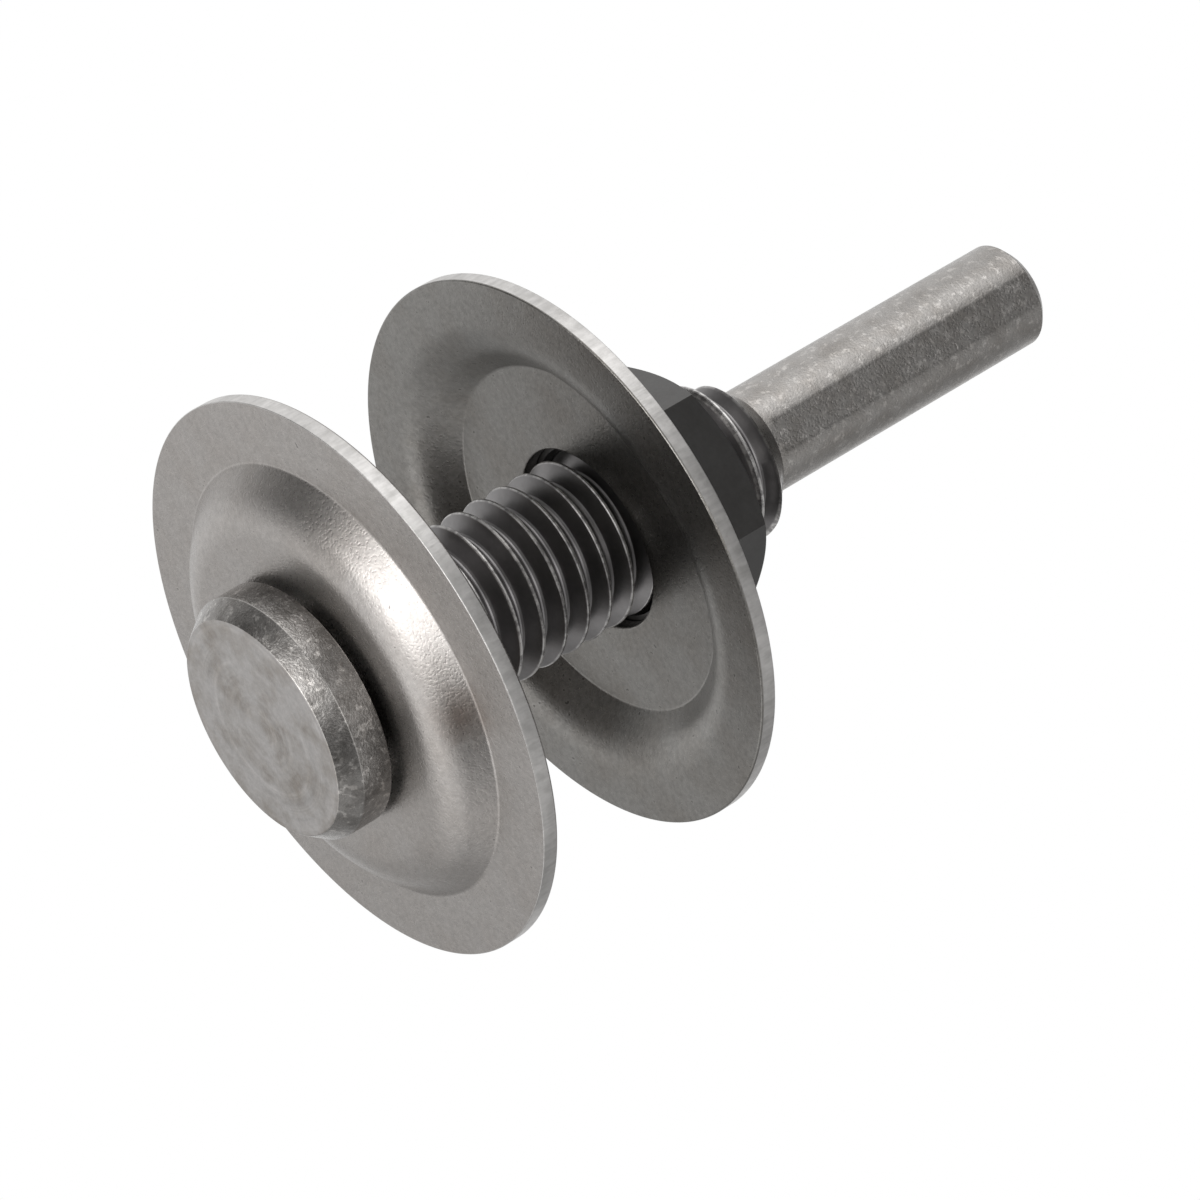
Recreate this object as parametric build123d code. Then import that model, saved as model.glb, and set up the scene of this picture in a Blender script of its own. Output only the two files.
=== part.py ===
from build123d import *
import os
from math import ceil, cos, floor, radians, tan

# Cutting disc mandrel: a headed, threaded arbor that clamps a thin disc between two dished
# flanges with a thin hexagon nut. It stands on its head, with +Z along the arbor to the shank
# and the origin at the centre of the head's end face. All sizes are in millimetres.

# Head, at the foot of the arbor
HEAD_DIAMETER = 14.4
HEAD_HEIGHT = 3.0
HEAD_CHAMFER_WIDTH = 0.8
HEAD_CHAMFER_HEIGHT = 1.1

# Left-hand thread: the drag of the disc tightens a nut that sits on the shank's side of it
THREAD_DIAMETER = 9.8
THREAD_PITCH = 25.4 / 16
FLANK_ANGLE = 30.0
CREST_WIDTH = 0.16
ROOT_WIDTH = 0.3
THREAD_START_ANGLE = 84.0
THREAD_BEYOND_NUT = 3.95
RIDGE_SINK = 0.15
CUT_MARGIN = 0.4

# Round drive shank with flats for a three-jaw chuck
SHANK_DIAMETER = 6.35
SHANK_LENGTH = 20.5
SHANK_CHAMFER = 0.5
SHOULDER_LENGTH = 0.8
FLAT_COUNT = 3
FLAT_DEPTH = 0.15
FLAT_SETBACK = 0.4
FIRST_FLAT_ANGLE = -90.0

# Pressed flanges, two alike that face each other
FLANGE_DIAMETER = 33.0
SHEET_THICKNESS = 0.95
DISH_DEPTH = 2.0
DISH_MOUTH_DIAMETER = 25.8
WALL_ANGLE = 45.0
BEND_RADIUS = 3.6
BORE_CLEARANCE = 0.55
HEAD_GAP = 0.5
RIM_GAP = 14.25

# Thin nut
NUT_ACROSS_FLATS = 14.0
NUT_HEIGHT = 6.1
NUT_FACE_DIAMETER = 13.3
NUT_CHAMFER_ANGLE = 30.0
NUT_BORE_DIAMETER = 8.1
NUT_COUNTERSINK_DIAMETER = 10.3
NUT_TURN = -7.0
THREAD_CLEARANCE = 0.08

# Thread form
CREST_RADIUS = THREAD_DIAMETER / 2
THREAD_DEPTH = (THREAD_PITCH - CREST_WIDTH - ROOT_WIDTH) / 2 / tan(radians(FLANK_ANGLE))
ROOT_RADIUS = CREST_RADIUS - THREAD_DEPTH

# Heights of the stack, from the head's end face up
THREAD_START = HEAD_HEIGHT - THREAD_PITCH / 2
FRONT_FACE = HEAD_HEIGHT + HEAD_GAP
FLANGE_HEIGHT = DISH_DEPTH + SHEET_THICKNESS
REAR_RIM = FRONT_FACE + FLANGE_HEIGHT + RIM_GAP
NUT_SEAT = REAR_RIM + FLANGE_HEIGHT
THREAD_END = NUT_SEAT + NUT_HEIGHT + THREAD_BEYOND_NUT
SHANK_START = THREAD_END + SHOULDER_LENGTH
TIP = SHANK_START + SHANK_LENGTH


def turned(points, radius=0.0):
    """Turn a closed outline of (radius, height) points about the arbor's axis."""
    if radius:
        outline = FilletPolyline(*points, radius=radius, close=True)
    else:
        outline = Polyline(*points, close=True)
    return revolve(Plane.XZ * make_face(outline), Axis.Z)


def ridge_turns(crest_radius, crest_width, foot_radius, start, end):
    """A ridge with sloping flanks, as a list of single turns in step with the thread."""
    foot_width = crest_width + 2 * (crest_radius - foot_radius) * tan(radians(FLANK_ANGLE))
    section = Plane.XZ * Polygon(
        (foot_radius, -foot_width / 2),
        (foot_radius, foot_width / 2),
        (crest_radius, crest_width / 2),
        (crest_radius, -crest_width / 2),
        align=None,
    )
    turn = Rot(0, 0, THREAD_START_ANGLE) * sweep(
        section, Helix(THREAD_PITCH, THREAD_PITCH, foot_radius, lefthand=True), is_frenet=True
    )
    count = ceil((end - start) / THREAD_PITCH)
    return [Pos(0, 0, start + number * THREAD_PITCH) * turn for number in range(count)]


def thread_turns():
    """The arbor's thread, from inside the head to a 45 degree lead-in at its free end."""
    inner, outer = ROOT_RADIUS - CUT_MARGIN, CREST_RADIUS + CUT_MARGIN
    lead_in_start = THREAD_END - THREAD_DEPTH - CUT_MARGIN
    clear_end = THREAD_END + 3 * THREAD_PITCH
    lead_in = turned([
        (inner, THREAD_END + CUT_MARGIN),
        (outer, lead_in_start),
        (outer, clear_end),
        (inner, clear_end),
    ])
    foot_radius = ROOT_RADIUS - RIDGE_SINK
    turns = ridge_turns(CREST_RADIUS, CREST_WIDTH, foot_radius, THREAD_START, THREAD_END)
    return [turn - lead_in if turn.bounding_box().max.Z > lead_in_start else turn for turn in turns]


def shank_flat(angle):
    """The metal that one flat takes off the shank."""
    start = SHANK_START + FLAT_SETBACK
    size = (FLAT_DEPTH + CUT_MARGIN, SHANK_DIAMETER, TIP - start + CUT_MARGIN)
    cutter = Box(*size, align=(Align.MIN, Align.CENTER, Align.MIN))
    return Rot(0, 0, angle) * Pos(SHANK_DIAMETER / 2 - FLAT_DEPTH, 0, start) * cutter


def arbor():
    """Head, thread and shank, one piece of steel."""
    head, shank = HEAD_DIAMETER / 2, SHANK_DIAMETER / 2
    core = turned([
        (0, 0),
        (head - HEAD_CHAMFER_WIDTH, 0),
        (head, HEAD_CHAMFER_HEIGHT),
        (head, HEAD_HEIGHT),
        (ROOT_RADIUS, HEAD_HEIGHT),
        (ROOT_RADIUS, THREAD_END),
        (shank, SHANK_START),
        (shank, TIP - SHANK_CHAMFER),
        (shank - SHANK_CHAMFER, TIP),
        (0, TIP),
    ])
    body = core.fuse(*thread_turns())
    for number in range(FLAT_COUNT):
        body -= shank_flat(FIRST_FLAT_ANGLE + number * 360 / FLAT_COUNT)
    return body


def flange():
    """A dished washer of sheet, its raised middle on z = 0 and its rim upward."""
    bore = CREST_RADIUS + BORE_CLEARANCE
    mouth, rim = DISH_MOUTH_DIAMETER / 2, FLANGE_DIAMETER / 2
    knee = mouth - DISH_DEPTH / tan(radians(WALL_ANGLE))
    shift = SHEET_THICKNESS * tan(radians(WALL_ANGLE / 2))
    points = [
        (bore, 0),
        (knee, 0),
        (mouth, DISH_DEPTH),
        (rim, DISH_DEPTH),
        (rim, FLANGE_HEIGHT),
        (mouth - shift, FLANGE_HEIGHT),
        (knee - shift, SHEET_THICKNESS),
        (bore, SHEET_THICKNESS),
    ]
    return turned(points, [0, BEND_RADIUS, 0, 0, 0, BEND_RADIUS, 0, 0])


def hex_nut():
    """A chamfered hexagon with the arbor's thread form, opened by the clearance, cut through it."""
    hexagon = RegularPolygon(NUT_ACROSS_FLATS / 2, 6, major_radius=False, rotation=NUT_TURN)
    blank = extrude(hexagon, NUT_HEIGHT)
    corner = NUT_ACROSS_FLATS / 2 / cos(radians(30))
    face = NUT_FACE_DIAMETER / 2
    drop = (corner - face) * tan(radians(NUT_CHAMFER_ANGLE))
    barrel = turned([
        (0, 0),
        (face, 0),
        (corner, drop),
        (corner, NUT_HEIGHT - drop),
        (face, NUT_HEIGHT),
        (0, NUT_HEIGHT),
    ])
    bore, mouth = NUT_BORE_DIAMETER / 2, NUT_COUNTERSINK_DIAMETER / 2
    sink = mouth - bore
    hole = turned([
        (0, 0),
        (mouth, 0),
        (bore, sink),
        (bore, NUT_HEIGHT - sink),
        (mouth, NUT_HEIGHT),
        (0, NUT_HEIGHT),
    ])
    return (Pos(0, 0, NUT_SEAT) * ((blank & barrel) - hole)).cut(*tapped_turns())


def tapped_turns():
    """The nut's thread groove, in step with the arbor's ridge and clear of it on every side."""
    slope = radians(FLANK_ANGLE)
    turns_below = floor((NUT_SEAT - THREAD_START) / THREAD_PITCH) - 1
    start = THREAD_START + turns_below * THREAD_PITCH
    width = CREST_WIDTH + 2 * THREAD_CLEARANCE * (1 / cos(slope) - tan(slope))
    crest_radius = CREST_RADIUS + THREAD_CLEARANCE
    foot_radius = NUT_BORE_DIAMETER / 2 - RIDGE_SINK
    return ridge_turns(crest_radius, width, foot_radius, start, NUT_SEAT + NUT_HEIGHT + THREAD_PITCH)


def main():
    """Write one STEP file for each piece."""
    parts = {
        "arbor": arbor(),
        "front_flange": Pos(0, 0, FRONT_FACE) * flange(),
        "rear_flange": Pos(0, 0, NUT_SEAT) * Rot(180, 0, 0) * flange(),
        "hex_nut": hex_nut(),
    }
    os.makedirs("parts", exist_ok=True)
    for name, solid in parts.items():
        export_step(solid, f"parts/{name}.step")


main()
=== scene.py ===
"""Studio picture of a cutting disc mandrel: a headed arbor, two pressed flanges and a thin nut.

The classes hold their sizes in millimetres. Their meshes are in metres, in the frame's own place.
"""
import logging
from abc import ABC, abstractmethod
from dataclasses import dataclass, replace
from enum import IntEnum
from math import ceil, cos, pi, radians, sin, tan, tau
from typing import Any, ClassVar, Sequence

import bpy
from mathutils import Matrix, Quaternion, Vector


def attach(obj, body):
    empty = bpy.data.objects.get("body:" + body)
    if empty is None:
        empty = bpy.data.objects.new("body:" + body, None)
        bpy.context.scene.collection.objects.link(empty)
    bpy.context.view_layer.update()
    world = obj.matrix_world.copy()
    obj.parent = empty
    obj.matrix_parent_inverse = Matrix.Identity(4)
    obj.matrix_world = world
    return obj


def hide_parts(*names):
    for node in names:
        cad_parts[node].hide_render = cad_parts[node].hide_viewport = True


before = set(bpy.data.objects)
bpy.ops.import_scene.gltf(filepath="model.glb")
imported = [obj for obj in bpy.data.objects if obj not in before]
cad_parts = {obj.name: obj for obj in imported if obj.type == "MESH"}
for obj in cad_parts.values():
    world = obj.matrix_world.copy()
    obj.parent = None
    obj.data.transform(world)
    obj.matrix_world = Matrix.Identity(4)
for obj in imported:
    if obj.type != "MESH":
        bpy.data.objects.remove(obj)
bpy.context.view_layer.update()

log = logging.getLogger("mandrel")
MM = 0.001

# Sizes that several classes share, in millimetres
THREAD_END = 33.7
THREAD_ROOT_RADIUS = 3.924
NUT_SEAT = 23.65

# Node types that the trees below use over and over
MATH = "ShaderNodeMath"
VECTOR = "ShaderNodeVectorMath"
NOISE = "ShaderNodeTexNoise"
RANGE = "ShaderNodeMapRange"
MIX = "ShaderNodeMix"

# What feeds a node's input: a plain value, an output, or a node whose first live output is meant
Feed = Any


# Small tools that every piece uses


def linear(code: str) -> tuple[float, float, float, float]:
    """Turn an sRGB hex code into a linear colour.

    Args:
        code: Six hexadecimal digits.

    Returns:
        Red, green, blue and an alpha of 1.
    """
    channels = [int(code[place:place + 2], 16) / 255 for place in (0, 2, 4)]
    red, green, blue = [c / 12.92 if c <= 0.04045 else ((c + 0.055) / 1.055) ** 2.4 for c in channels]
    return red, green, blue, 1.0


def add_node(tree: bpy.types.NodeTree, kind: str, inputs: dict[Any, Feed] | Sequence[Feed] = (),
             **settings: Any) -> bpy.types.Node:
    """Add a node, with its settings and its inputs.

    Args:
        tree: The tree that gets the node.
        kind: The node's type.
        inputs: What feeds each input, in order or by the input's name or number. A list feeds
            an input that takes several.
        settings: The node's own properties.

    Returns:
        The new node.
    """
    node = tree.nodes.new(kind)
    for name, value in settings.items():
        setattr(node, name, value)
    for key, feeds in inputs.items() if isinstance(inputs, dict) else enumerate(inputs):
        for feed in feeds if isinstance(feeds, list) else [feeds]:
            if isinstance(feed, bpy.types.Node):
                feed = next(output for output in feed.outputs if output.enabled)
            if isinstance(feed, bpy.types.NodeSocket):
                tree.links.new(feed, node.inputs[key])
            else:
                node.inputs[key].default_value = feed
    return node


def distance_from_axis(tree: bpy.types.NodeTree, place: Feed) -> bpy.types.Node:
    """Measure, in a tree, how far a place is from the arbor's axis."""
    flat = add_node(tree, VECTOR, (place, (1, 1, 0)), operation="MULTIPLY")
    return add_node(tree, VECTOR, (flat,), operation="LENGTH")


def new_object(name: str, mesh: bpy.types.Mesh) -> bpy.types.Object:
    """Put a mesh into the scene as an object at the origin.

    Args:
        name: The object's name.
        mesh: Its mesh.

    Returns:
        The new object.
    """
    made = bpy.data.objects.new(name, mesh)
    bpy.context.scene.collection.objects.link(made)
    return made


def shade(mesh: bpy.types.Mesh, crease_deg: float) -> None:
    """Shade a mesh smooth, apart from edges that turn by more than crease_deg."""
    mesh.shade_smooth()
    mesh.set_sharp_from_angle(angle=radians(crease_deg))


def apply_tree(made: bpy.types.Object, tree: bpy.types.GeometryNodeTree, values: dict[str, Any]) -> None:
    """Run a Geometry Nodes tree on an object and keep the result as its plain mesh.

    Args:
        made: The object, whose mesh is the tree's geometry input.
        tree: The tree.
        values: The tree's named inputs.
    """
    modifier = made.modifiers.new(tree.name, "NODES")
    modifier.node_group = tree
    for item in tree.interface.items_tree:
        if item.item_type == "SOCKET" and item.in_out == "INPUT" and item.name in values:
            modifier[item.identifier] = values[item.name]
    made.update_tag()
    evaluated = made.evaluated_get(bpy.context.evaluated_depsgraph_get())
    mesh = bpy.data.meshes.new_from_object(evaluated)
    made.modifiers.remove(modifier)

    # The booleans leave empty material slots, which are dropped
    used = sorted({face.material_index for face in mesh.polygons})
    kept = [mesh.materials[number] for number in used]
    slots = [used.index(face.material_index) for face in mesh.polygons]
    mesh.materials.clear()
    for material in kept:
        mesh.materials.append(material)
    mesh.polygons.foreach_set("material_index", slots)
    mesh.name = made.name
    made.data = mesh


# Turned shapes


@dataclass(frozen=True)
class Corner:
    """A corner of a turned outline: its place, its rounding and the finish of the side after it."""

    radius: float
    height: float
    rounding: float = 0.0
    finish: int = 0

    def place(self) -> Vector:
        """The corner's radius and height."""
        return Vector((self.radius, self.height))


@dataclass(frozen=True)
class Outline:
    """The outline that a lathe turns about the arbor's axis, in millimetres."""

    corners: tuple[Corner, ...]
    closed: bool = True
    arc_step_deg: float = 6.0
    on_axis: float = 1e-6

    def rounded(self, number: int) -> list[Vector]:
        """Round one corner.

        Args:
            number: The corner's place in the outline.

        Returns:
            The points of its arc, from the side before it to the side after it.
        """
        corner = self.corners[number]
        here = corner.place()
        back = (self.corners[number - 1].place() - here).normalized()
        on = (self.corners[(number + 1) % len(self.corners)].place() - here).normalized()
        half = back.angle(on) / 2
        centre = here + (back + on).normalized() * corner.rounding / sin(half)
        first = here + back * corner.rounding / tan(half) - centre
        turn = pi - 2 * half
        sense = 1 if first.y * back.x - first.x * back.y > 0 else -1
        steps = max(2, ceil(turn / radians(self.arc_step_deg)))
        points = []
        for step in range(steps + 1):
            angle = sense * turn * step / steps
            spoke = Vector((first.x * cos(angle) - first.y * sin(angle),
                            first.x * sin(angle) + first.y * cos(angle)))
            points.append(centre + spoke)
        return points

    def points(self) -> list[tuple[Vector, int]]:
        """Every point of the outline, with its roundings.

        Returns:
            Each point, with the finish of the side after it.
        """
        made = []
        for number, corner in enumerate(self.corners):
            arc = self.rounded(number) if corner.rounding else [corner.place()]
            made += [(point, corner.finish) for point in arc]
        return made

    def turned(self, name: str, segments: int) -> bpy.types.Mesh:
        """Turn the outline into a closed mesh.

        Args:
            name: The mesh's name.
            segments: How many flats go round.

        Returns:
            The mesh, in metres, with a material index for each finish.
        """
        outline = self.points()
        vertices: list[tuple[float, float, float]] = []
        rings: list[list[int]] = []
        for point, _ in outline:
            start = len(vertices)
            pole = point.x < self.on_axis
            for number in range(1 if pole else segments):
                angle = tau * number / segments
                vertices.append((point.x * MM * cos(angle), point.x * MM * sin(angle), point.y * MM))
            rings.append([start] * segments if pole else list(range(start, start + segments)))
        faces, finishes = [], []
        last = len(outline) if self.closed else len(outline) - 1
        for number in range(last):
            low, high = rings[number], rings[(number + 1) % len(rings)]
            for step in range(segments):
                ahead = (step + 1) % segments
                corners = (low[step], low[ahead], high[ahead], high[step])
                faces.append(tuple(dict.fromkeys(corners)))
                finishes.append(outline[number][1])
        mesh = bpy.data.meshes.new(name)
        mesh.from_pydata(vertices, [], faces)
        mesh.polygons.foreach_set("material_index", finishes)
        if self.winds_inward():
            mesh.flip_normals()
        mesh.update()
        return mesh

    def winds_inward(self) -> bool:
        """Whether the outline runs clockwise, which turns the lathe's faces inward."""
        points = [point for point, _ in self.points()]
        return sum(here.x * after.y - after.x * here.y
                   for here, after in zip(points, points[1:] + points[:1])) < 0


# The thread, shared by the arbor and the nut


class Hand(IntEnum):
    """The hand of a thread, as the sense in which its ridge turns on the way up."""

    LEFT = -1
    RIGHT = 1


@dataclass(frozen=True)
class HelicalThread:
    """A thread's ridge and root as one closed rod, made by Geometry Nodes from a grid.

    Its outline's points lie at shares of the root's and the crest's half width. Heights, such as
    how far the root sags and the flanks rise, are shares of the thread's depth.
    """

    pitch: float = 25.4 / 16
    crest_radius: float = 4.9
    root_radius: float = THREAD_ROOT_RADIUS
    crest_width: float = 0.16
    root_width: float = 0.3
    root_sag: float = 0.05
    hollow_side: float = 0.6
    flank_foot: float = 1.3
    flank_top: float = 1.25
    flank_rise: float = 0.965
    crest_side: float = 0.6
    hand: Hand = Hand.LEFT
    start_angle_deg: float = 84.0
    first_crest: float = 3.0 - 25.4 / 32
    steps_per_turn: int = 96
    spare_turns: float = 3.0
    weld: float = 0.001

    def outline(self) -> list[tuple[float, float]]:
        """One pitch of the thread, from root to root, with a hollow root and a rounded crest.

        Returns:
            Points as a share of the pitch and a share of the thread's depth.
        """
        root, crest = self.root_width / 2 / self.pitch, self.crest_width / 2 / self.pitch
        sag = self.root_sag
        rise = [(0.0, -sag), (root * self.hollow_side, -sag * self.hollow_side),
                (root * self.flank_foot, sag), (0.5 - crest * self.flank_top, self.flank_rise),
                (0.5 - crest * self.crest_side, 1.0)]
        return rise + [(1 - phase, height) for phase, height in reversed(rise)]

    def rod_inputs(self) -> dict[str, float]:
        """The rod's named inputs, with a lead-in that is far off unless it is given.

        Returns:
            A value for each, in metres or radians.
        """
        return {
            "Crest Radius": self.crest_radius * MM, "Root Radius": self.root_radius * MM,
            "Pitch": self.pitch * MM, "First Crest": self.first_crest * MM,
            "Low End": 0.0, "High End": 0.0, "Lead-in End": 1.0,
            "Start Angle": radians(self.start_angle_deg), "Hand": float(self.hand),
        }

    def rod_group(self) -> bpy.types.GeometryNodeTree:
        """The node group that makes the rod, made once.

        Returns:
            The group. A lead-in at 45 degrees cuts the thread down towards Lead-in End.
        """
        name = "helical_rod"
        if name in bpy.data.node_groups:
            return bpy.data.node_groups[name]
        tree = bpy.data.node_groups.new(name, "GeometryNodeTree")
        for label, value in self.rod_inputs().items():
            socket = tree.interface.new_socket(label, in_out="INPUT", socket_type="NodeSocketFloat")
            socket.default_value = value
        tree.interface.new_socket("Rod", in_out="OUTPUT", socket_type="NodeSocketGeometry")
        given = add_node(tree, "NodeGroupInput").outputs
        pitch, low, high, root = given["Pitch"], given["Low End"], given["High End"], given["Root Radius"]
        outline = self.outline()

        # A grid whose X runs along the helix and whose Y runs over one pitch of the outline
        span = add_node(tree, MATH, (high, low), operation="SUBTRACT")
        pitches = add_node(tree, MATH, (span, pitch), operation="DIVIDE")
        whole = add_node(tree, MATH, (pitches,), operation="CEIL")
        turns = add_node(tree, MATH, (whole, self.spare_turns), operation="ADD")
        sides = add_node(tree, MATH, (turns, float(self.steps_per_turn)), operation="MULTIPLY")
        steps = add_node(tree, MATH, (sides, 1.0), operation="ADD")
        grid = add_node(tree, "GeometryNodeMeshGrid", {"Vertices X": steps, "Vertices Y": len(outline)})
        share = add_node(tree, "ShaderNodeSeparateXYZ", (grid.outputs["UV Map"],)).outputs
        turned = add_node(tree, MATH, (share["X"], turns), operation="MULTIPLY")

        # The height: whole pitches below the low end, then up with the turns and with the outline
        phase = add_node(tree, "ShaderNodeFloatCurve", {"Value": share["Y"]})
        self.draw_runs(phase.mapping, [across for across, _ in outline])
        below = add_node(tree, MATH, (low, given["First Crest"]), operation="SUBTRACT")
        lift = add_node(tree, MATH, (below, pitch), operation="DIVIDE")
        crests = add_node(tree, MATH, (lift,), operation="FLOOR")
        first = add_node(tree, MATH, (crests, 1.0), operation="SUBTRACT")
        wound = add_node(tree, MATH, (turned, first), operation="ADD")
        centred = add_node(tree, MATH, (phase, 0.5), operation="SUBTRACT")
        along = add_node(tree, MATH, (wound, centred), operation="ADD")
        risen = add_node(tree, MATH, (along, pitch), operation="MULTIPLY")
        height = add_node(tree, MATH, (risen, given["First Crest"]), operation="ADD")

        # The radius: the outline between root and crest, under the lead-in's cone
        sag = self.root_sag
        shown = add_node(tree, "ShaderNodeFloatCurve", {"Value": share["Y"]})
        self.draw_runs(shown.mapping, [(deep + sag) / (1 + sag) for _, deep in outline])
        depth = add_node(tree, MATH, (given["Crest Radius"], root), operation="SUBTRACT")
        stretched = add_node(tree, MATH, (shown, 1 + sag), operation="MULTIPLY")
        relief = add_node(tree, MATH, (stretched, sag), operation="SUBTRACT")
        radius = add_node(tree, MATH, (relief, depth, root), operation="MULTIPLY_ADD")
        short = add_node(tree, MATH, (given["Lead-in End"], height), operation="SUBTRACT")
        lead_in = add_node(tree, MATH, (root, short), operation="ADD")
        radius = add_node(tree, MATH, (radius, lead_in), operation="MINIMUM")

        # Points beyond the ends go to the axis at that end, which closes the rod
        above_low = add_node(tree, MATH, (height, low), operation="GREATER_THAN")
        under_high = add_node(tree, MATH, (height, high), operation="LESS_THAN")
        inside = add_node(tree, MATH, (above_low, under_high), operation="MULTIPLY")
        radius = add_node(tree, MATH, (radius, inside), operation="MULTIPLY")
        height = add_node(tree, MATH, (height, low), operation="MAXIMUM")
        height = add_node(tree, MATH, (height, high), operation="MINIMUM")

        # Wound about the axis, with the seam between neighbouring turns welded
        winding = add_node(tree, MATH, (turned, tau), operation="MULTIPLY")
        swing = add_node(tree, MATH, (winding, given["Hand"]), operation="MULTIPLY")
        angle = add_node(tree, MATH, (given["Start Angle"], swing), operation="ADD")
        cosine = add_node(tree, MATH, (angle,), operation="COSINE")
        sine = add_node(tree, MATH, (angle,), operation="SINE")
        point = add_node(tree, "ShaderNodeCombineXYZ", {
            "X": add_node(tree, MATH, (radius, cosine), operation="MULTIPLY"),
            "Y": add_node(tree, MATH, (radius, sine), operation="MULTIPLY"),
            "Z": height,
        })
        moved = add_node(tree, "GeometryNodeSetPosition", {"Geometry": grid, "Position": point})
        welded = add_node(tree, "GeometryNodeMergeByDistance", {
            "Geometry": moved, "Distance": self.weld * MM})
        left = add_node(tree, MATH, (given["Hand"], 0.0), operation="LESS_THAN")
        outward = add_node(tree, "GeometryNodeFlipFaces", {"Mesh": welded, "Selection": left})
        add_node(tree, "NodeGroupOutput", (outward,))
        return tree

    @staticmethod
    def draw_runs(mapping: bpy.types.CurveMapping, values: Sequence[float]) -> None:
        """Draw straight runs through evenly spaced values into a curve.

        Args:
            mapping: The curve's mapping, still with its first two points.
            values: The values, from 0 to 1.
        """
        points = mapping.curves[0].points
        last = len(values) - 1
        for number, value in enumerate(values):
            if number in (0, last):
                point = points[0 if number == 0 else len(points) - 1]
                point.location = (number / last, value)
            else:
                point = points.new(number / last, value)
            point.handle_type = "VECTOR"
        mapping.update()


# Finishes


@dataclass(frozen=True)
class Pattern:
    """A random pattern, by the width of its features. Its value lies mostly from low to high."""

    size_mm: float
    detail: float = 3.0
    finer_share: float = 0.6
    low: ClassVar[float] = 0.3
    high: ClassVar[float] = 0.7

    def inputs(self, place: Feed) -> dict[str, Feed]:
        """The inputs of the noise that draws the pattern over a place."""
        return {"Vector": place, "Scale": 1 / (self.size_mm * MM), "Detail": self.detail,
                "Roughness": self.finer_share}


@dataclass(frozen=True)
class Grain:
    """The fine relief of a finish: its size, how far it tips the surface, and its scale on each axis."""

    size_mm: float
    slope: float
    stretch: tuple[float, float, float] = (1.0, 1.0, 1.0)
    height_share: ClassVar[float] = 1.25

    def height_mm(self) -> float:
        """How high a bump of full strength stands to tip the surface by the slope."""
        return self.height_share * self.slope * self.size_mm


@dataclass(frozen=True)
class Steel:
    """A steel finish with broad stains, fine grain, dark specks and bright flecks.

    The shares and contrasts say how far a colour goes to its stain or how far its level swings.
    """

    name: str
    tone: str
    stain: str
    stain_mm: float
    stain_share: float
    grain: Grain
    mottling: float
    roughness: float
    roughness_spread: float
    mottle_mm: float = 0.35
    stain_edge: tuple[float, float] = (0.42, 0.68)
    specks: float = 0.0
    speck_mm: float = 0.35
    speck_edge: tuple[float, float] = (0.8, 0.83)
    speck_level: float = 0.45
    flecks: float = 0.0
    fleck_mm: float = 0.22
    fleck_edge: tuple[float, float] = (0.56, 0.68)

    def material(self) -> bpy.types.Material:
        """The finish as a material on Object coordinates, made once.

        Returns:
            The material.
        """
        if self.name in bpy.data.materials:
            return bpy.data.materials[self.name]
        made = bpy.data.materials.new(self.name)
        made.use_nodes = True
        tree = made.node_tree
        tree.nodes.clear()
        place = add_node(tree, "ShaderNodeTexCoord").outputs["Object"]
        drawn = add_node(tree, "ShaderNodeMapping", {"Vector": place, "Scale": self.grain.stretch})

        stains = add_node(tree, NOISE, Pattern(self.stain_mm, detail=4.0).inputs(place))
        stained = add_node(tree, RANGE, (stains, *self.stain_edge, 0.0, self.stain_share))
        tone = add_node(tree, MIX, {"Factor": stained, "A": linear(self.tone), "B": linear(self.stain)},
                        data_type="RGBA")
        level = self.lightness(tree, place, drawn)
        level, tone = self.marked(tree, place, level, tone)
        colour = add_node(tree, VECTOR, {0: tone, "Scale": level}, operation="SCALE")

        grain = add_node(tree, NOISE, Pattern(self.grain.size_mm).inputs(drawn))
        dullest, glossiest = self.roughness + self.roughness_spread, self.roughness - self.roughness_spread
        gloss = add_node(tree, RANGE, (grain, Pattern.low, Pattern.high, glossiest, dullest))
        bump = add_node(tree, "ShaderNodeBump", {
            "Height": grain, "Strength": 1.0, "Distance": self.grain.height_mm() * MM})
        surface = add_node(tree, "ShaderNodeBsdfPrincipled", {
            "Base Color": colour, "Metallic": 1.0, "Roughness": gloss, "Normal": bump})
        add_node(tree, "ShaderNodeOutputMaterial", {"Surface": surface})
        return made

    def lightness(self, tree: bpy.types.NodeTree, place: Feed, drawn: Feed) -> Feed:
        """How light the colour is: near 1, with the mottling, the dark specks and the bright flecks.

        Args:
            tree: The material's tree.
            place: The place on the piece.
            drawn: The same, stretched along the marks of the tool.

        Returns:
            What the colour is multiplied by.
        """
        mottle = add_node(tree, NOISE, Pattern(self.mottle_mm, detail=5.0).inputs(drawn))
        level = add_node(tree, RANGE, (
            mottle, Pattern.low, Pattern.high, 1 - self.mottling, 1 + self.mottling))
        if self.specks:
            dots = add_node(tree, NOISE, Pattern(self.speck_mm, detail=1.0).inputs(place))
            start, end = (edge - self.specks for edge in self.speck_edge)
            dark = add_node(tree, RANGE, (dots, start, end, 1.0, self.speck_level))
            level = add_node(tree, MATH, (level, dark), operation="MULTIPLY")
        if self.flecks:
            dots = add_node(tree, NOISE, Pattern(self.fleck_mm, detail=2.0).inputs(drawn))
            bright = add_node(tree, RANGE, (dots, *self.fleck_edge, 0.0, self.flecks))
            level = add_node(tree, MATH, (level, bright), operation="ADD")
        return level

    def marked(self, tree: bpy.types.NodeTree, place: Feed, level: Feed,
               tone: Feed) -> tuple[Feed, Feed]:
        """The level and the tone as they are, on a finish with no marks of its own."""
        return level, tone


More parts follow.
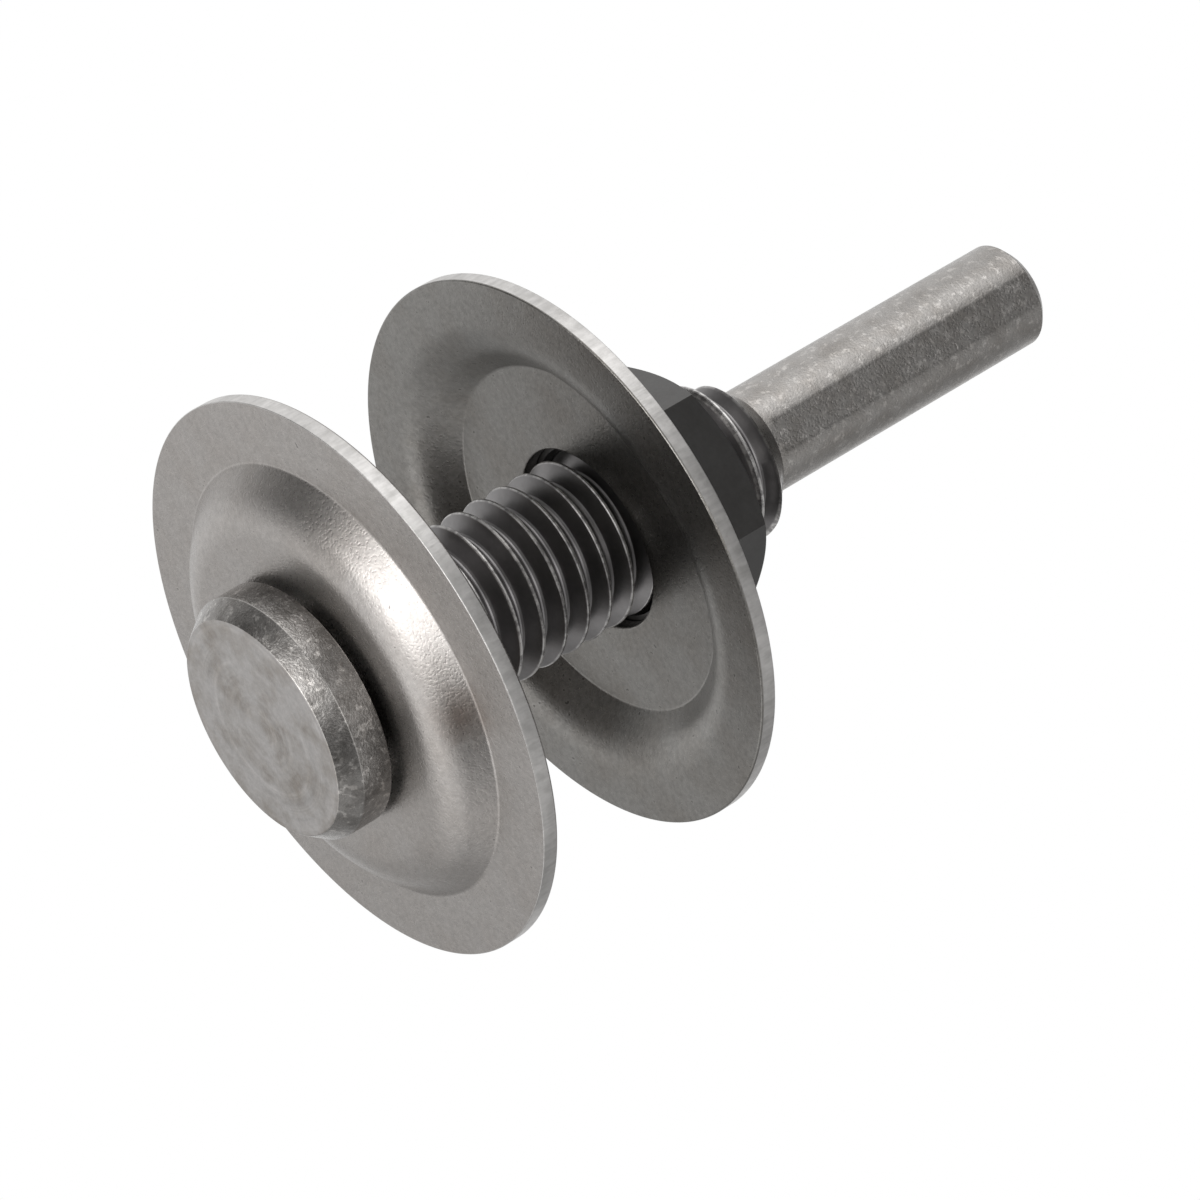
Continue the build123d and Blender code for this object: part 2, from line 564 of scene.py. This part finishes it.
@dataclass(frozen=True)
class RimWornSteel(Steel):
    """A dark finish that is rubbed bright beyond a radius round the arbor's axis.

    Towards the free end the bright band widens, and it follows the lead-in's cone, on which radius
    and height add up to lead_in_sum.
    """

    worn_radius: float = 4.8
    worn_band: float = 0.08
    worn_tone: str = "cfcdcb"
    free_end: float = THREAD_END
    end_length: float = 4.6
    end_fade: float = 1.0
    end_widening: float = 0.2
    lead_in_sum: float = THREAD_END + THREAD_ROOT_RADIUS
    lead_in_band: float = 0.25
    patch_mm: float = 0.5
    patch_edge: tuple[float, float] = (0.4, 0.55)
    least_worn: float = 0.25

    def marked(self, tree: bpy.types.NodeTree, place: Feed, level: Feed,
               tone: Feed) -> tuple[Feed, Feed]:
        """Rub the finish bright on the crest and along the lead-in, in broken patches.

        Args:
            tree: The material's tree.
            place: The place on the piece.
            level: What the colour is multiplied by.
            tone: The colour.

        Returns:
            The level as it was, and the rubbed colour.
        """
        radius = distance_from_axis(tree, place)
        height = add_node(tree, "ShaderNodeSeparateXYZ", (place,)).outputs["Z"]
        end_start = self.free_end - self.end_length
        near_end = add_node(tree, RANGE, (height, end_start * MM, (end_start + self.end_fade) * MM))
        start = add_node(tree, MATH, (near_end, -self.end_widening * MM, self.worn_radius * MM),
                         operation="MULTIPLY_ADD")
        beyond = add_node(tree, MATH, (radius, start), operation="SUBTRACT")
        crest = add_node(tree, RANGE, (beyond, 0.0, self.worn_band * MM))
        added = add_node(tree, MATH, (radius, height), operation="ADD")
        cone = add_node(tree, RANGE, (
            added, (self.lead_in_sum - self.lead_in_band) * MM, self.lead_in_sum * MM))
        patches = add_node(tree, NOISE, Pattern(self.patch_mm).inputs(place))
        broken = add_node(tree, RANGE, (patches, *self.patch_edge, self.least_worn, 1.0))
        either = add_node(tree, MATH, (crest, cone), operation="MAXIMUM")
        rubbed = add_node(tree, MATH, (either, broken), operation="MULTIPLY")
        bare = add_node(tree, MIX, {"Factor": rubbed, "A": tone, "B": linear(self.worn_tone)},
                        data_type="RGBA")
        return level, bare


@dataclass(frozen=True)
class SmudgedSteel(Steel):
    """A finish with one brownish smudge, at a place on the piece."""

    centre: tuple[float, float, float] = (0.0, 0.0, 0.0)
    reach_mm: float = 2.0
    fade: tuple[float, float] = (0.6, 1.5)
    ragged_mm: float = 0.8
    tint: str = "6d5d53"
    share: float = 0.6

    def marked(self, tree: bpy.types.NodeTree, place: Feed, level: Feed,
               tone: Feed) -> tuple[Feed, Feed]:
        """Tint the finish round the smudge's centre, with a ragged edge.

        Args:
            tree: The material's tree.
            place: The place on the piece.
            level: What the colour is multiplied by.
            tone: The colour.

        Returns:
            The level as it was, and the tinted colour.
        """
        away = add_node(tree, VECTOR, (place, Vector(self.centre) * MM), operation="DISTANCE")
        edge = add_node(tree, NOISE, Pattern(self.ragged_mm, detail=4.0).inputs(place))
        reach = self.reach_mm * MM
        ragged = add_node(tree, MATH, (edge, reach, away), operation="MULTIPLY_ADD")
        near, far = self.fade
        strength = add_node(tree, RANGE, (ragged, near * reach, far * reach, self.share, 0.0))
        tinted = add_node(tree, MIX, {"Factor": strength, "A": tone, "B": linear(self.tint)},
                          data_type="RGBA")
        return level, tinted


@dataclass(frozen=True)
class TurnedSteel(Steel):
    """A faced end, whose cutting marks show as faint broken rings round the arbor's axis.

    Real ones lie 0.1 to 0.2 mm apart and wouldn't show, so they are drawn 0.7 mm wide.
    """

    ring_mm: float = 0.7
    ring_edge: tuple[float, float] = (0.35, 0.65)
    ring_contrast: float = 0.07
    gap_mm: float = 3.0
    gap_edge: tuple[float, float] = (0.4, 0.6)

    def marked(self, tree: bpy.types.NodeTree, place: Feed, level: Feed,
               tone: Feed) -> tuple[Feed, Feed]:
        """Draw the rings, with gaps where handling has rubbed them out.

        Args:
            tree: The material's tree.
            place: The place on the piece.
            level: What the colour is multiplied by.
            tone: The colour.

        Returns:
            The level with the rings, and the colour as it was.
        """
        across = add_node(tree, "ShaderNodeCombineXYZ", {"X": distance_from_axis(tree, place)})
        marks = add_node(tree, NOISE, Pattern(self.ring_mm).inputs(across))
        rings = add_node(tree, RANGE, (marks, *self.ring_edge, -self.ring_contrast, self.ring_contrast))
        gaps = add_node(tree, NOISE, Pattern(self.gap_mm).inputs(place))
        broken = add_node(tree, RANGE, (gaps, *self.gap_edge))
        return add_node(tree, MATH, (rings, broken, level), operation="MULTIPLY_ADD"), tone


# The brown mark low on the front flange's dome
SMUDGE_ON_DOME = (2.9, -11.9, 4.8)

# Mild steel sheet, pressed and tumbled: a satin grey that glares where it bends towards the light,
# with faint mottling, dark pinholes and one brown mark. Real grain of this kind is well under
# 0.1 mm and wouldn't show. It is drawn 0.14 mm wide, and 0.1 mm on the punched edge, thread and nut.
PRESSED_SHEET = SmudgedSteel(
    name="pressed_mild_steel_sheet", tone="a5a19e", stain="958d86", stain_mm=5.0, stain_share=0.3,
    grain=Grain(0.14, 0.12), mottling=0.12, roughness=0.29, roughness_spread=0.04, specks=0.04,
    centre=SMUDGE_ON_DOME)

# The same sheet, its tone darkened as painted shade for the rear flange, which sits in deeper shade; also
# blotchier and with more pinholes
SHEET_IN_PAINTED_SHADE = Steel(
    name="dulled_mild_steel_sheet", tone="858380", stain="75706a", stain_mm=4.0, stain_share=0.5,
    grain=Grain(0.14, 0.1), mottling=0.17, roughness=0.3, roughness_spread=0.04, specks=0.07)

# Sheet steel where the punch sheared it: bright and soft, streaked across the sheet's thickness
PUNCHED_EDGE = Steel(
    name="punched_sheet_edge", tone="c3c1bf", stain="a19f9c", stain_mm=0.8, stain_share=0.5,
    grain=Grain(0.1, 0.08, (1, 1, 0.2)), mottling=0.14, roughness=0.34, roughness_spread=0.05)

# Free-cutting steel, faced on a lathe and handled: pale grey with broken rings and brownish smears
TURNED_FACE = TurnedSteel(
    name="turned_steel_head_face", tone="aeaba9", stain="857d74", stain_mm=2.4, stain_share=0.75,
    grain=Grain(0.14, 0.1), mottling=0.1, roughness=0.33, roughness_spread=0.05, ring_contrast=0.2)

# The same steel, turned and knocked about: darker, patchy, with bright scuffs that catch the light
HANDLED_HEAD = Steel(
    name="handled_steel_head_side", tone="9c9996", stain="5c5854", stain_mm=1.1, stain_share=0.6,
    grain=Grain(0.14, 0.11), mottling=0.16, roughness=0.24, roughness_spread=0.06, flecks=0.8,
    fleck_mm=0.45)

# Steel with a rolled and darkened thread: smooth dark flanks, with crests that the nut rubbed bright
ROLLED_THREAD = RimWornSteel(
    name="rolled_thread_steel", tone="7e7c7c", stain="6e6c6c", stain_mm=1.2, stain_share=0.5,
    grain=Grain(0.1, 0.008), mottling=0.05, roughness=0.32, roughness_spread=0.02)

# Steel, ground and then gripped by chucks: mid grey, blotchy, with small bright bruises
GROUND_SHANK = Steel(
    name="ground_steel_shank", tone="a4a19e", stain="7f7973", stain_mm=1.4, stain_share=0.45,
    grain=Grain(0.14, 0.12), mottling=0.12, roughness=0.29, roughness_spread=0.05, flecks=0.45,
    fleck_mm=0.4)

# Steel, milled and chemically blackened: an even, soft near-black
BLACKENED_NUT = Steel(
    name="blackened_nut_steel", tone="51504f", stain="474544", stain_mm=2.0, stain_share=0.4,
    grain=Grain(0.1, 0.03), mottling=0.06, roughness=0.33, roughness_spread=0.03)


# The pieces


@dataclass
class Piece(ABC):
    """One piece of the mandrel, turned as a blank, then worked and dressed in place of its CAD node."""

    name: str
    node: str
    body: str
    slot: str
    crease_deg: float = 28.0
    segments: int = 192

    @abstractmethod
    def outline(self) -> Outline:
        """The outline of the turned blank."""

    @abstractmethod
    def dress(self, made: bpy.types.Object) -> None:
        """Work the turned blank to its final shape and give it its finishes."""

    def build(self) -> bpy.types.Object:
        """Make the piece and give it to the frame.

        Returns:
            The piece's object.
        """
        made = new_object(self.name, self.outline().turned(self.name, self.segments))
        self.dress(made)
        shade(made.data, self.crease_deg)
        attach(made, self.body)
        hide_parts(self.node)
        return made


class SheetSide(IntEnum):
    """The sides of a punched sheet, as the flange's material slots."""

    FACE = 0
    PUNCHED = 1


@dataclass
class DishedFlange(Piece):
    """A washer pressed to a shallow dish, with its flat rim toward the disc."""

    seat: float = 3.5
    rim_up: bool = True
    radius: float = 16.5
    sheet: float = 0.95
    depth: float = 2.0
    mouth_radius: float = 12.9
    wall_angle_deg: float = 45.0
    bend: float = 3.6
    inner_bend: float = 0.25
    bore_radius: float = 5.45
    edge_rounding: float = 0.12
    burr_rounding: float = 0.05
    segments: int = 288
    finish: Steel = PRESSED_SHEET
    edge_finish: Steel = PUNCHED_EDGE

    def outline(self) -> Outline:
        """The dish's outline, with its raised middle at the seat.

        Returns:
            The outline, with its finishes by SheetSide.
        """
        knee = self.mouth_radius - self.depth / tan(radians(self.wall_angle_deg))
        shift = self.sheet * tan(radians(self.wall_angle_deg / 2))
        height = self.depth + self.sheet
        up = 1 if self.rim_up else -1
        corners = (
            Corner(self.bore_radius, 0.0, self.edge_rounding),
            Corner(knee, 0.0, self.bend),
            Corner(self.mouth_radius, self.depth, self.inner_bend),
            Corner(self.radius, self.depth, self.burr_rounding, SheetSide.PUNCHED),
            Corner(self.radius, height, self.edge_rounding),
            Corner(self.mouth_radius - shift, height, self.bend),
            Corner(knee - shift, self.sheet, self.inner_bend),
            Corner(self.bore_radius, self.sheet, self.edge_rounding),
        )
        return Outline(tuple(replace(corner, height=self.seat + up * corner.height) for corner in corners))

    def dress(self, made: bpy.types.Object) -> None:
        """Give the turned flange its finishes, in the order of SheetSide."""
        for finish in (self.finish, self.edge_finish):
            made.data.materials.append(finish.material())


@dataclass
class ThreadedArbor(Piece):
    """Head, left-hand thread and flatted shank, one piece.

    The turned blank has a thin core under the thread. The threaded rod, with the shoulder's cone at
    its upper end, is joined to it and ends inside the shank.
    """

    head_radius: float = 7.2
    head_height: float = 3.0
    chamfer_width: float = 0.8
    chamfer_height: float = 1.1
    face_rounding: float = 0.12
    chamfer_rounding: float = 0.15
    back_rounding: float = 0.1
    core_radius: float = 3.4
    rod_low: float = 2.0
    rod_high: float = 35.4
    thread_end: float = THREAD_END
    shoulder_end: float = 34.45
    shank_radius: float = 3.175
    tip: float = 55.0
    tip_chamfer: float = 0.5
    tip_rounding: float = 0.08
    flat_start: float = 34.9
    flat_run_out: float = 0.05
    flat_depth: float = 0.15
    flat_angles_deg: tuple[float, ...] = (-90.0, 30.0, 150.0)
    zone_margin: float = 0.02
    thread: HelicalThread = HelicalThread()

    def outline(self) -> Outline:
        """Head, core and shank, without the thread.

        Returns:
            The outline, from the head's centre to the tip's.
        """
        head, shank = self.head_radius, self.shank_radius
        corners = (
            Corner(0, 0),
            Corner(head - self.chamfer_width, 0, self.face_rounding),
            Corner(head, self.chamfer_height, self.chamfer_rounding),
            Corner(head, self.head_height, self.back_rounding),
            Corner(self.core_radius, self.head_height),
            Corner(self.core_radius, self.thread_end),
            Corner(shank, self.shoulder_end),
            Corner(shank, self.flat_start - self.flat_run_out),
            Corner(shank, self.flat_start),
            Corner(shank, self.tip - self.tip_chamfer, self.tip_rounding),
            Corner(shank - self.tip_chamfer, self.tip, self.tip_rounding),
            Corner(0, self.tip),
        )
        return Outline(corners, closed=False)

    def cut_flats(self, mesh: bpy.types.Mesh) -> None:
        """Press the shank's skin back to each flat.

        Args:
            mesh: The turned blank's mesh.
        """
        reach = (self.shank_radius - self.flat_depth) * MM
        start = (self.flat_start - self.flat_run_out / 2) * MM
        for angle in self.flat_angles_deg:
            normal = Vector((cos(radians(angle)), sin(radians(angle)), 0))
            for vertex in mesh.vertices:
                over = vertex.co.dot(normal) - reach
                if vertex.co.z > start and over > 0:
                    vertex.co -= normal * over

    def tree(self) -> bpy.types.GeometryNodeTree:
        """Geometry Nodes that join the threaded rod to the blank and give each zone its finish.

        Returns:
            The tree. It holds named inputs for its heights and finishes.
        """
        tree = bpy.data.node_groups.new("threaded_arbor", "GeometryNodeTree")
        tree.interface.new_socket("Blank", in_out="INPUT", socket_type="NodeSocketGeometry")
        ends = ("Low End", "High End", "Lead-in End")
        for label in (*ends, "Lead-in Sum", "Head Height", "Face Height"):
            tree.interface.new_socket(label, in_out="INPUT", socket_type="NodeSocketFloat")
        for label in ("Face Finish", "Head Finish", "Thread Finish", "Shank Finish"):
            tree.interface.new_socket(label, in_out="INPUT", socket_type="NodeSocketMaterial")
        tree.interface.new_socket("Arbor", in_out="OUTPUT", socket_type="NodeSocketGeometry")
        given = add_node(tree, "NodeGroupInput").outputs
        rod = add_node(tree, "GeometryNodeGroup", node_tree=self.thread.rod_group())
        for label in ends:
            tree.links.new(given[label], rod.inputs[label])
        joined = add_node(tree, "GeometryNodeMeshBoolean", {"Mesh 2": [given["Blank"], rod]},
                          operation="UNION", solver="MANIFOLD")
        arbor = add_node(tree, "GeometryNodeRealizeInstances", (joined,))

        # Each zone's finish goes over the one before it
        place = add_node(tree, "GeometryNodeInputPosition")
        height = add_node(tree, "ShaderNodeSeparateXYZ", (place,)).outputs["Z"]
        added = add_node(tree, MATH, (height, distance_from_axis(tree, place)), operation="ADD")
        zones = {
            "Shank Finish": True,
            "Thread Finish": add_node(tree, MATH, (added, given["Lead-in Sum"]), operation="LESS_THAN"),
            "Head Finish": add_node(tree, MATH, (height, given["Head Height"]), operation="LESS_THAN"),
            "Face Finish": add_node(tree, MATH, (height, given["Face Height"]), operation="LESS_THAN"),
        }
        for label, chosen in zones.items():
            arbor = add_node(tree, "GeometryNodeSetMaterial", {
                "Geometry": arbor, "Selection": chosen, "Material": given[label]})
        add_node(tree, "NodeGroupOutput", (arbor,))
        return tree

    def dress(self, made: bpy.types.Object) -> None:
        """Press the flats, join the thread and give each zone its finish.

        Args:
            made: The piece's object, with the turned blank as its mesh.
        """
        self.cut_flats(made.data)
        apply_tree(made, self.tree(), {
            "Low End": self.rod_low * MM, "High End": self.rod_high * MM,
            "Lead-in End": self.thread_end * MM,
            "Lead-in Sum": (self.thread_end + self.thread.root_radius - self.zone_margin) * MM,
            "Head Height": (self.head_height + self.zone_margin / 2) * MM,
            "Face Height": self.zone_margin * MM,
            "Face Finish": TURNED_FACE.material(), "Head Finish": HANDLED_HEAD.material(),
            "Thread Finish": ROLLED_THREAD.material(), "Shank Finish": GROUND_SHANK.material()})


@dataclass
class HexNut(Piece):
    """A thin hexagon nut, chamfered on both faces, with the arbor's thread in its bore."""

    seat: float = NUT_SEAT
    height: float = 6.1
    sides: int = 6
    across_flats: float = 14.0
    face_radius: float = 6.65
    face_rounding: float = 0.06
    chamfer_deg: float = 30.0
    chamfer_overrun: float = 0.3
    bore_radius: float = 4.05
    sink_radius: float = 5.15
    turn_deg: float = -7.0
    clearance: float = 0.08
    bore_overlap: float = 0.05
    tap_overrun: float = 1.0
    bar_length: float = 1000.0
    thread: HelicalThread = HelicalThread()

    def corner_radius(self) -> float:
        """The distance from the axis to the hexagon's corners."""
        return self.across_flats / 2 / cos(pi / self.sides)

    def outline(self) -> Outline:
        """The chamfered barrel with its countersunk bore.

        Returns:
            The outline, wider than the hexagon that will cut it.
        """
        barrel = self.corner_radius() + self.chamfer_overrun
        drop = (barrel - self.face_radius) * tan(radians(self.chamfer_deg))
        sink = self.sink_radius - self.bore_radius
        top = self.seat + self.height
        corners = (
            Corner(self.sink_radius, self.seat),
            Corner(self.face_radius, self.seat, self.face_rounding),
            Corner(barrel, self.seat + drop),
            Corner(barrel, top - drop),
            Corner(self.face_radius, top, self.face_rounding),
            Corner(self.sink_radius, top),
            Corner(self.bore_radius, top - sink),
            Corner(self.bore_radius, self.seat + sink),
        )
        return Outline(corners)

    def tree(self) -> bpy.types.GeometryNodeTree:
        """Geometry Nodes that cut the barrel to a hexagon and tap its bore.

        Returns:
            The tree. It holds named inputs for its sizes, its turn and its finish.
        """
        tree = bpy.data.node_groups.new("tapped_hexagon", "GeometryNodeTree")
        tree.interface.new_socket("Barrel", in_out="INPUT", socket_type="NodeSocketGeometry")
        tap_sizes = ("Low End", "High End", "Crest Radius", "Root Radius")
        for label in ("Across Corners Radius", "Bar Length", "Turn", "Middle", *tap_sizes):
            tree.interface.new_socket(label, in_out="INPUT", socket_type="NodeSocketFloat")
        tree.interface.new_socket("Nut Finish", in_out="INPUT", socket_type="NodeSocketMaterial")
        tree.interface.new_socket("Nut", in_out="OUTPUT", socket_type="NodeSocketGeometry")
        given = add_node(tree, "NodeGroupInput").outputs
        bar = add_node(tree, "GeometryNodeMeshCylinder", {
            "Vertices": self.sides, "Radius": given["Across Corners Radius"], "Depth": given["Bar Length"]})
        bar = add_node(tree, "GeometryNodeTransform", {
            "Geometry": bar,
            "Translation": add_node(tree, "ShaderNodeCombineXYZ", {"Z": given["Middle"]}),
            "Rotation": add_node(tree, "ShaderNodeCombineXYZ", {"Z": given["Turn"]})})
        hexagon = add_node(tree, "GeometryNodeMeshBoolean", {"Mesh 2": [given["Barrel"], bar]},
                           operation="INTERSECT", solver="MANIFOLD")
        tap = add_node(tree, "GeometryNodeGroup", node_tree=self.thread.rod_group())
        for label in tap_sizes:
            tree.links.new(given[label], tap.inputs[label])
        tapped = add_node(tree, "GeometryNodeMeshBoolean", {"Mesh 1": hexagon, "Mesh 2": tap},
                          operation="DIFFERENCE", solver="MANIFOLD")
        real = add_node(tree, "GeometryNodeRealizeInstances", (tapped,))
        dressed = add_node(tree, "GeometryNodeSetMaterial", {
            "Geometry": real, "Material": given["Nut Finish"]})
        add_node(tree, "NodeGroupOutput", (dressed,))
        return tree

    def dress(self, made: bpy.types.Object) -> None:
        """Cut the hexagon, tap the bore and give the nut its finish.

        Args:
            made: The piece's object, with the turned barrel as its mesh.
        """
        apply_tree(made, self.tree(), {
            "Across Corners Radius": self.corner_radius() * MM, "Bar Length": self.bar_length * MM,
            "Turn": radians(self.turn_deg), "Middle": (self.seat + self.height / 2) * MM,
            "Low End": (self.seat - self.tap_overrun) * MM,
            "High End": (self.seat + self.height + self.tap_overrun) * MM,
            "Crest Radius": (self.thread.crest_radius + self.clearance) * MM,
            "Root Radius": (self.bore_radius - self.bore_overlap) * MM,
            "Nut Finish": BLACKENED_NUT.material()})


# The studio


@dataclass(frozen=True)
class StudioCamera:
    """The photograph's camera, as fitted to its ellipses, round a point on its line of sight."""

    target: tuple[float, float, float] = (3.2026, -0.5015, 21.5041)
    azimuth_deg: float = -8.8998
    elevation_deg: float = -28.8427
    distance: float = 302.998
    roll_deg: float = 59.4023
    lens: float = 166.334
    sensor_width: float = 36.0
    nearest: float = 10.0
    farthest: float = 10000.0

    def back(self) -> Vector:
        """The direction from the target to the camera."""
        turn, rise = radians(self.azimuth_deg), radians(self.elevation_deg)
        return Vector((sin(turn) * cos(rise), -cos(turn) * cos(rise), sin(rise)))

    def build(self) -> None:
        """Make the camera and give it to the scene."""
        data = bpy.data.cameras.new("studio_camera")
        data.lens = self.lens
        data.sensor_width = self.sensor_width
        data.clip_start, data.clip_end = self.nearest * MM, self.farthest * MM
        made = bpy.data.objects.new("studio_camera", data)
        bpy.context.scene.collection.objects.link(made)
        made.location = (Vector(self.target) + self.back() * self.distance) * MM
        made.rotation_mode = "QUATERNION"
        level = (-self.back()).to_track_quat("-Z", "Y")
        made.rotation_quaternion = level @ Quaternion((0, 0, 1), radians(self.roll_deg))
        bpy.context.scene.camera = made


@dataclass(frozen=True)
class SoftLight:
    """A soft round patch of light on the studio's far walls."""

    name: str
    direction: tuple[float, float, float]
    spread_deg: float
    radiance: float

    def glow(self, tree: bpy.types.NodeTree, look: Feed) -> bpy.types.Node:
        """The patch's light along a direction, brightest in its middle.

        Args:
            tree: The world's tree.
            look: The direction.

        Returns:
            The node that gives the radiance.
        """
        facing = add_node(tree, VECTOR, (look, Vector(self.direction).normalized()),
                          operation="DOT_PRODUCT")
        steepness = 1 / radians(self.spread_deg) ** 2
        fall = add_node(tree, MATH, (facing, steepness, -steepness), operation="MULTIPLY_ADD")
        share = add_node(tree, MATH, (fall,), operation="EXPONENT")
        return add_node(tree, MATH, (share, self.radiance), operation="MULTIPLY")


@dataclass(frozen=True)
class Studio:
    """White backdrop, pale floor and soft lights, which were fitted to the photograph's shading."""

    camera: StudioCamera = StudioCamera()
    lights: tuple[SoftLight, ...] = (
        SoftLight("key_left_of_camera", (-0.261, -0.276, -0.925), 14, 5.6),
        SoftLight("overhead", (-0.858, -0.445, 0.255), 22, 2.22),
        SoftLight("fill_right_of_camera", (0.129, -0.983, -0.128), 16, 2.36),
        SoftLight("low_left", (0.099, 0.411, -0.906), 16, 1.48),
        SoftLight("low_front", (0.67, 0.332, -0.665), 17, 1.04),
        SoftLight("backdrop_high", (-0.796, 0.524, 0.302), 18, 1.11),
        SoftLight("low_right", (0.894, -0.429, 0.133), 22, 0.95),
        SoftLight("backdrop_left", (-0.232, 0.895, -0.38), 16, 0.81),
    )
    backdrop: SoftLight = SoftLight("white_backdrop", (0.136, 0.865, 0.482), 30, 1.0)
    room_light: float = 0.012
    floor_paint: str = "f4f4f4"
    floor_glow: float = 0.6
    floor_half_width: float = 1500.0
    floor_drop: float = 0.02

    def build(self) -> None:
        """Make the camera, the world and the floor."""
        self.camera.build()
        self.build_world()
        self.build_floor()

    def build_world(self) -> None:
        """White to the camera, and to the object a dim room with the soft lights.

        Metal shows the white backdrop too, where it stands behind the mandrel.
        """
        world = bpy.data.worlds.new("studio_room")
        bpy.context.scene.world = world
        world.use_nodes = True
        tree = world.node_tree
        tree.nodes.clear()
        look = add_node(tree, "ShaderNodeTexCoord").outputs["Generated"]
        path = add_node(tree, "ShaderNodeLightPath").outputs
        mirrored = add_node(tree, MATH, (path["Is Glossy Ray"], path["Is Transmission Ray"]),
                            operation="MAXIMUM")
        level = add_node(tree, MATH, (mirrored, self.backdrop.glow(tree, look), self.room_light),
                         operation="MULTIPLY_ADD")
        for light in self.lights:
            level = add_node(tree, MATH, (level, light.glow(tree, look)), operation="ADD")
        shown = add_node(tree, MIX, {"Factor": path["Is Camera Ray"], "A": level, "B": 1.0},
                         data_type="FLOAT")
        sky = add_node(tree, "ShaderNodeBackground", {"Color": (1, 1, 1, 1), "Strength": shown})
        add_node(tree, "ShaderNodeOutputWorld", {"Surface": sky})

    def build_floor(self) -> None:
        """A pale floor that the camera sees only from above, with the mandrel's shadow on it.

        The photograph looks up from below its level, so light and mirrored rays pass it as well.
        """
        half, drop = self.floor_half_width * MM, -self.floor_drop * MM
        mesh = bpy.data.meshes.new("floor")
        corners = [(-half, -half, drop), (half, -half, drop), (half, half, drop), (-half, half, drop)]
        mesh.from_pydata(corners, [], [(0, 1, 2, 3)])
        floor = new_object("floor", mesh)
        mesh.materials.append(self.floor_material())
        floor.visible_shadow = False
        floor.visible_glossy = False
        floor.visible_diffuse = False

    def floor_material(self) -> bpy.types.Material:
        """Matt white paint: pale from above, through a glow for the camera alone, and clear from below.

        Returns:
            The material.
        """
        made = bpy.data.materials.new("pale_matt_floor")
        made.use_nodes = True
        tree = made.node_tree
        tree.nodes.clear()
        below = add_node(tree, "ShaderNodeNewGeometry").outputs["Backfacing"]
        seen = add_node(tree, "ShaderNodeLightPath").outputs["Is Camera Ray"]
        strength = add_node(tree, MATH, (seen, self.floor_glow), operation="MULTIPLY")
        glow = add_node(tree, "ShaderNodeEmission", {"Strength": strength})
        paint = add_node(tree, "ShaderNodeBsdfDiffuse", {"Color": linear(self.floor_paint)})
        pale = add_node(tree, "ShaderNodeAddShader", (paint, glow))
        clear = add_node(tree, "ShaderNodeBsdfTransparent")
        both = add_node(tree, "ShaderNodeMixShader", (below, pale, clear))
        add_node(tree, "ShaderNodeOutputMaterial", {"Surface": both})
        return made


def main() -> None:
    """Build the mandrel piece by piece, then the studio."""
    logging.basicConfig(level=logging.INFO, format="%(name)s %(message)s")
    bpy.context.scene.view_settings.view_transform = "Standard"
    pieces: tuple[Piece, ...] = (
        ThreadedArbor("turned_arbor", "arbor", "arbor", "arbor_steel", crease_deg=16.0),
        DishedFlange("front_pressing", "front_flange", "front_flange", "flange_steel"),
        # The rear flange wears the same sheet with painted shade: its darker tone stands in for the shade
        # it sits in
        DishedFlange("rear_pressing", "rear_flange", "rear_flange", "flange_steel",
                     seat=NUT_SEAT, rim_up=False, finish=SHEET_IN_PAINTED_SHADE),
        HexNut("thin_nut", "hex_nut", "hex_nut", "nut_steel", crease_deg=12.0),
    )
    for piece in pieces:
        made = piece.build()
        log.info("%s: %d faces, in place of %s", made.name, len(made.data.polygons), piece.node)
    Studio().build()


if __name__ == "__main__":
    main()
